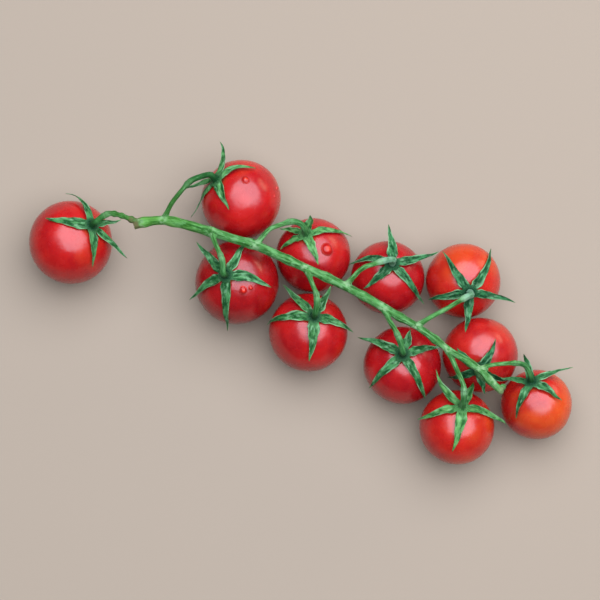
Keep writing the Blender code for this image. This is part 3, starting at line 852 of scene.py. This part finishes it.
# ---------------------------------------------------------------- main stem and stalks
def sweep(route, radii, sides, ridges, ridge_depth, seed, ragged=0.0):
    """A closed tube round a route, with soft lengthwise ridges; ragged roughens its first end."""
    count = len(route)
    run = np.gradient(route, axis=0)
    run /= np.linalg.norm(run, axis=1)[:, None]
    side = np.cross(run[0], [0.0, 0.0, 1.0])
    side /= np.linalg.norm(side)
    length = np.concatenate([[0.0], np.cumsum(np.linalg.norm(np.diff(route, axis=0), axis=1))])
    verts, faces = [], []
    angles = np.linspace(0, 2 * math.pi, sides, endpoint=False)
    for i in range(count):
        side = side - run[i] * side.dot(run[i])
        side /= np.linalg.norm(side)
        other = np.cross(run[i], side)
        for angle in angles:
            twist = angle + length[i] * 6.0
            r = radii[i] * (1 + ridge_depth * math.cos(ridges * twist) + 0.6 * ridge_depth * math.cos((ridges - 2) * angle + seed + length[i] * 30))
            r += 0.07 * MM * noise.noise(Vector((math.cos(angle) * 0.9, math.sin(angle) * 0.9, length[i] * 320 + seed * 3)))
            point = route[i] + (side * math.cos(angle) + other * math.sin(angle)) * r
            if ragged and i < 3:
                point = point + run[i] * ragged * noise.noise(Vector((math.cos(angle) * 2.2, math.sin(angle) * 2.2, seed))) * (1 - i / 3)
            verts.append(point)
    for i in range(count - 1):
        for k in range(sides):
            n = (k + 1) % sides
            faces.append((i * sides + k, i * sides + n, (i + 1) * sides + n, (i + 1) * sides + k))
    first, last = len(verts), len(verts) + 1
    verts.append(route[0] + run[0] * (0.35 * MM if ragged else -0.1 * MM))
    verts.append(route[-1] + run[-1] * 0.15 * MM)
    for k in range(sides):
        n = (k + 1) % sides
        faces.append((first, n, k))
        base = (count - 1) * sides
        faces.append((last, base + k, base + n))
    return verts, faces, length


def stalk_points(name):
    position, ways, _knuckle = STALKS[name]
    root = between([sight(u, v, z * MM) for u, v, z, _ in STEM], position)
    points = [sight(u, v, z * MM) for u, v, z in ways]
    centre, axis, _a, c = FRAMES[name]
    top = centre + axis * (c + CALYX_TOP + 0.55 * MM)
    return [root, *points, top + axis * 2.2 * MM, top, centre + axis * (c + 0.7 * MM)]


# each stalk: from 0 for dark green to 1 for light green, and how pale its knuckle is
STALK_TINTS = {
    "01": (0.15, 0.20),
    "02": (0.05, 0.15),
    "03": (0.60, 0.35),
    "04": (0.75, 0.20),
    "05": (0.55, 0.25),
    "06": (0.75, 0.90),
    "07": (0.40, 0.25),
    "08": (0.60, 1.00),
    "09": (0.85, 0.50),
    "10": (0.60, 0.15),
    "11": (0.40, 0.30),
}


# small knobs round the main stem's tip, where the last buds fell: photo position, height and radius in mm
TIP_KNOBS = [(444.2, 161.0, 35.3, 0.90), (449.4, 162.2, 35.2, 1.15), (448.0, 165.6, 34.9, 1.00), (438.4, 150.6, 37.0, 0.90)]


def knob(u, v, z, radius, seed):
    """A closed small lump for the remesh to grow into the stem."""
    centre = np.array(sight(u, v, z * MM))
    verts, faces = [centre + np.array([0.0, 0.0, radius * MM])], []
    rows, sides = 7, 14
    for i in range(1, rows):
        polar = math.pi * i / rows
        for k in range(sides):
            angle = 2 * math.pi * k / sides
            way = np.array([math.sin(polar) * math.cos(angle), math.sin(polar) * math.sin(angle), math.cos(polar)])
            swell = 1 + 0.35 * noise.noise(Vector(way * 1.6) + Vector((seed, 0.0, 0.0)))
            verts.append(centre + way * radius * MM * swell)
    verts.append(centre - np.array([0.0, 0.0, radius * MM]))
    last = len(verts) - 1
    for k in range(sides):
        n = (k + 1) % sides
        faces.append((0, 1 + k, 1 + n))
        for i in range(rows - 2):
            a, b = 1 + i * sides, 1 + (i + 1) * sides
            faces.append((a + k, b + k, b + n, a + n))
        faces.append((last, last - sides + n, last - sides + k))
    return verts, faces


def build_vine():
    """The main stem and all eleven stalks, grown together into one closed body."""
    places = [sight(u, v, z * MM) for u, v, z, _ in STEM]
    route = smooth_route(places, 420)
    base = np.array([r * MM for *_, r in STEM])
    at = np.linspace(0, len(STEM) - 1, len(route))
    radii = np.interp(at, np.arange(len(STEM)), base)
    for name, (position, *_rest) in STALKS.items():
        radii = radii + 0.30 * MM * np.exp(-(((at - position) / 0.22) ** 2))
    parts = [sweep(route, radii, 28, 7, 0.030, 1.0, ragged=0.9 * MM)[:2]]
    lines = [(route, radii, np.full(len(route), 9.0), np.full(len(route), 9.0), (0.62, 0.0))]
    for name in STALKS:
        knuckle = STALKS[name][2]
        way = smooth_route(stalk_points(name), 130)
        t = np.linspace(0, 1, len(way))
        reach = np.linalg.norm(np.diff(way, axis=0), axis=1).sum()
        size = 0.90 + 0.20 * smoothstep(knuckle, knuckle + 0.1, t)
        size = size + 0.40 * np.exp(-(((t - knuckle) * reach / (1.5 * MM)) ** 2))
        size = size - 0.22 * (1 - 0.6 * STALK_TINTS[name][1]) * np.exp(-(((t - knuckle - 0.01) * reach / (0.34 * MM)) ** 2))
        size = size + 0.55 * np.exp(-((t * reach / (2.6 * MM)) ** 2)) + 0.25 * smoothstep(0.84, 1.0, t)
        if name == "10":
            size = size * 0.86
        if name == "01":  # a scarred stalk, knobbly where buds fell
            for place, swelling in ((0.16, 0.42), (0.34, 0.30), (0.47, 0.36)):
                size = size + swelling * np.exp(-(((t - place) * reach / (0.8 * MM)) ** 2))
        parts.append(sweep(way, size * MM, 20, 5, 0.045, int(name) * 2.0)[:2])
        lines.append((way, size * MM, (t - knuckle) * reach / MM, (1 - t) * reach / MM, STALK_TINTS[name]))
    parts.extend(knob(*where, seed * 4.7) for seed, where in enumerate(TIP_KNOBS))
    verts, faces = [], []
    for v, f in parts:
        faces.extend(tuple(i + len(verts) for i in face) for face in f)
        verts.extend(v)
    vine = mesh_object("vine", verts, faces)
    grow = vine.modifiers.new("grown_together", "REMESH")
    grow.mode = "VOXEL"
    grow.voxel_size = 0.25 * MM
    grow.use_smooth_shade = True
    ease = vine.modifiers.new("eased", "SMOOTH")
    ease.factor = 0.5
    ease.iterations = 3
    baked(vine)
    mesh = vine.data
    co = coords(mesh)
    # nearest centre line: how far along it, the way round it, and how near to a knuckle or to the cut
    best = np.full(len(co), 1e9)
    grain = np.zeros((len(co), 3))
    knuckle, past_knuckle, to_fruit = np.full(len(co), 9.0), np.full(len(co), -9.0), np.full(len(co), 9.0)
    tint, pallor = np.zeros(len(co)), np.zeros(len(co))
    offset = 0.0
    for way, size, to_knuckle, to_end, (tint_here, pallor_here) in lines:
        length = np.concatenate([[0.0], np.cumsum(np.linalg.norm(np.diff(way, axis=0), axis=1))])
        run = np.gradient(way, axis=0)
        run /= np.linalg.norm(run, axis=1)[:, None]
        for start in range(0, len(co), 20000):
            some = slice(start, start + 20000)
            gap = np.linalg.norm(co[some, None, :] - way[None, ::3, :], axis=2)
            near = gap.argmin(axis=1) * 3
            distance = gap.min(axis=1) / size[near]
            better = distance < best[some]
            rows = np.nonzero(better)[0] + start
            n = near[better]
            best[rows] = distance[better]
            out = co[rows] - way[n]
            onward = np.clip((out * run[n]).sum(axis=1), -1.5 * MM, 1.5 * MM)
            out = (out - run[n] * onward[:, None]) / size[n][:, None]
            grain[rows] = np.column_stack([out[:, 0] + out[:, 1] * 0.6, out[:, 2] - out[:, 1] * 0.6, (length[n] + onward) / (9 * MM) + offset])
            if to_knuckle[0] < 0:
                knuckle[rows] = np.abs(to_knuckle[n] + onward / MM)
                past_knuckle[rows] = to_knuckle[n] + onward / MM
                to_fruit[rows] = to_end[n] - onward / MM
            else:
                knuckle[rows], past_knuckle[rows], to_fruit[rows] = 9.0, -9.0, 9.0
            tint[rows], pallor[rows] = tint_here, pallor_here
        offset += 11.3
    cut = np.linalg.norm(co - route[0], axis=1) / MM
    tip = np.linalg.norm(co - route[-1], axis=1) / MM
    nodes = np.full(len(co), 99.0)
    for position, *_rest in STALKS.values():
        nodes = np.minimum(nodes, np.linalg.norm(co - np.array(between(places, position)), axis=1) / MM)
    for key, values in (("grain", grain), ("knuckle", knuckle), ("past_knuckle", past_knuckle), ("to_fruit", to_fruit), ("cut", cut), ("tip", tip), ("node", nodes), ("tint", tint), ("pallor", pallor)):
        put_attribute(mesh, key, values)
    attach(vine, "root")
    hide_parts("main_stem", *("fruit_stalk_" + name for name in STALKS))
    return vine


def vine_material():
    """Downy green stem: lengthwise streaks and pale flecks, paler at the knuckles and joints, painted shade by the
    fruit, brown where it was cut.
    """
    s = Shader("stem_green")
    grain = s.attribute("grain", "Vector")
    place = s.place()
    longways = s.node("Mapping", {"Vector": grain, "Scale": (1.0, 1.0, 0.55)}, vector_type="POINT").outputs[0]
    streak = s.noise(longways, 2.6, 4.0, 0.62, 0.2)
    colour = s.mix(s.ramp(streak, 0.34, 0.64), (0.016, 0.085, 0.012), (0.060, 0.205, 0.052))
    tint = s.attribute("tint")
    colour = s.mix(s.ramp(tint, 0.0, 0.6, 0.75, 0.0), colour, (0.008, 0.052, 0.008))
    blotches = s.ramp(s.noise(s.node("Mapping", {"Vector": grain, "Scale": (1.0, 1.0, 1.7)}, vector_type="POINT").outputs[0], 1.5, 3.0, 0.55, 0.6), 0.46, 0.62, 0.0, 1.0)
    blotches = s.math("MULTIPLY", blotches, s.ramp(tint, 0.0, 1.0, 0.20, 0.95))
    colour = s.mix(blotches, colour, (0.116, 0.300, 0.110))
    flecks = s.ramp(s.noise(grain, 5.0, 3.0, 0.6), 0.58, 0.74, 0.0, 0.40)
    colour = s.mix(flecks, colour, (0.270, 0.430, 0.260))
    dark = s.ramp(s.noise(longways, 2.4, 3.0, 0.58), 0.34, 0.48, 0.85, 0.0)
    colour = s.mix(dark, colour, (0.009, 0.058, 0.007))
    grassy = s.math("MULTIPLY", s.ramp(s.attribute("cut"), 6.0, 38.0, 0.65, 0.0), s.ramp(tint, 0.3, 0.6, 0.35, 1.0))
    colour = s.mix(grassy, colour, s.mix(s.ramp(streak, 0.34, 0.64), (0.016, 0.088, 0.006), (0.095, 0.270, 0.038)))
    colour = s.mix(s.ramp(s.attribute("past_knuckle"), 0.8, 2.2, 0.0, 0.45), colour, (0.012, 0.078, 0.022))
    # painted shade on the stalk where it sinks into the calyx; light stalks get less of it
    dark = s.math("MULTIPLY", s.ramp(s.attribute("to_fruit"), 1.2, 4.6, 0.85, 0.0), s.ramp(tint, 0.62, 0.74, 1.0, 0.25))
    colour = s.mix(dark, colour, (0.005, 0.038, 0.011))
    pale = s.math("MULTIPLY", s.ramp(s.attribute("knuckle"), 0.6, 2.4, 1.0, 0.0), s.ramp(s.noise(place, 700.0, 2.0), 0.30, 0.55, 0.45, 1.0))
    colour = s.mix(s.math("MULTIPLY", pale, s.attribute("pallor")), colour, (0.165, 0.310, 0.175))
    pale = s.math("MULTIPLY", s.ramp(s.attribute("past_knuckle"), -0.6, 0.8), s.ramp(s.attribute("pallor"), 0.6, 0.9, 0.0, 0.85))
    colour = s.mix(s.math("MULTIPLY", pale, s.ramp(s.noise(place, 600.0, 3.0), 0.36, 0.60, 0.35, 1.0)), colour, (0.145, 0.285, 0.190))
    ring = s.math("MULTIPLY", s.ramp(s.attribute("knuckle"), 0.0, 0.28, 0.50, 0.0), s.ramp(s.attribute("pallor"), 0.3, 0.8, 1.0, 0.25))
    colour = s.mix(ring, colour, (0.045, 0.080, 0.025))
    pale = s.math("MULTIPLY", s.ramp(s.attribute("node"), 1.2, 3.4, 0.75, 0.0), s.ramp(s.noise(place, 600.0, 3.0), 0.42, 0.62))
    colour = s.mix(pale, colour, (0.225, 0.385, 0.195))
    ragged = s.math("ADD", s.attribute("cut"), s.ramp(s.noise(place, 500.0, 3.0), 0.2, 0.8, -1.3, 1.3))
    colour = s.mix(s.ramp(ragged, 1.6, 4.2, 0.9, 0.0), colour, (0.090, 0.075, 0.034))
    colour = s.mix(s.ramp(s.attribute("tip"), 1.2, 2.6, 0.6, 0.0), colour, (0.165, 0.21, 0.10))
    normal = s.bump(streak, 0.6, 0.30 * MM)
    normal = s.bump(s.noise(place, 1300.0, 3.0, 0.65), 0.5, 0.12 * MM, normal)
    s.set(
        Base_Color=colour,
        Roughness=0.52,
        IOR=1.13,
        Sheen_Weight=0.03,
        Sheen_Roughness=0.4,
        Sheen_Tint=(0.86, 1.0, 0.82),
        Subsurface_Weight=0.05,
        Subsurface_Radius=(0.4, 1.0, 0.2),
        Subsurface_Scale=0.6 * MM,
        Normal=normal,
    )
    return s.material


# ---------------------------------------------------------------- build the truss
for fruit in FRUITS:
    skin = build_tomato(fruit)
    skin.data.materials.append(tomato_material(fruit, *SKINS[fruit]))

leafy = sepal_material()
for fruit in FRUITS:
    build_calyx(fruit).data.materials.append(leafy)

water = water_material()
for number, droplet in enumerate(DROPLETS, 1):
    build_droplet(number, *droplet).data.materials.append(water)

vine = build_vine()
vine.data.materials.clear()
vine.data.materials.append(vine_material())


# ---------------------------------------------------------------- studio
def add_floor():
    half = 3.0
    floor = mesh_object("floor", [(-half, -half, -0.0001), (half, -half, -0.0001), (half, half, -0.0001), (-half, half, -0.0001)], [(0, 1, 2, 3)])
    s = Shader("pale_floor")
    s.set(Base_Color=(0.248, 0.206, 0.154), Roughness=0.8)
    floor.data.materials.append(s.material)


def add_light(name, place, aim, size, power, colour):
    lamp = bpy.data.lights.new(name, "AREA")
    lamp.shape = "ELLIPSE"
    lamp.size, lamp.size_y = size
    lamp.energy = power
    lamp.color = colour
    made = bpy.data.objects.new(name, lamp)
    made.location = place
    made.rotation_mode = "QUATERNION"
    made.rotation_quaternion = (Vector(aim) - Vector(place)).to_track_quat("-Z", "Y")
    bpy.context.scene.collection.objects.link(made)


add_floor()
add_light("soft_box", (0.22, 0.24, 1.25), (0.0, 0.0, 0.0), (2.3, 2.1), 63.0, (0.945, 0.97, 1.10))
add_light("warm_rim", (0.75, 0.55, 0.28), (0.0, 0.0, 0.01), (0.5, 0.3), 1.5, (1.0, 0.78, 0.55))

world = bpy.data.worlds.new("studio")
bpy.context.scene.world = world
world.use_nodes = True
world.node_tree.nodes["Background"].inputs["Color"].default_value = (0.93, 0.96, 1.0, 1.0)
world.node_tree.nodes["Background"].inputs["Strength"].default_value = 0.09
bpy.context.scene.view_settings.view_transform = "Standard"

# ---------------------------------------------------------------- camera: above the surface, looking down on the truss
eye = Vector((-PLAN_CENTRE[0], -PLAN_CENTRE[1], SIGHT_HEIGHT))
aim = Vector((0.0, 0.001, 0.016))
forward = (aim - eye).normalized()
right = forward.cross(Vector((0, 1, 0))).normalized()
above = right.cross(forward)
camera = bpy.data.objects.new("camera", bpy.data.cameras.new("camera"))
camera.matrix_world = Matrix(
    (
        (right.x, above.x, -forward.x, eye.x),
        (right.y, above.y, -forward.y, eye.y),
        (right.z, above.z, -forward.z, eye.z),
        (0, 0, 0, 1),
    )
)
camera.data.sensor_width = 36.0
camera.data.lens = 127.0
camera.data.clip_start, camera.data.clip_end = 0.02, 20.0
bpy.context.scene.collection.objects.link(camera)
bpy.context.scene.camera = camera
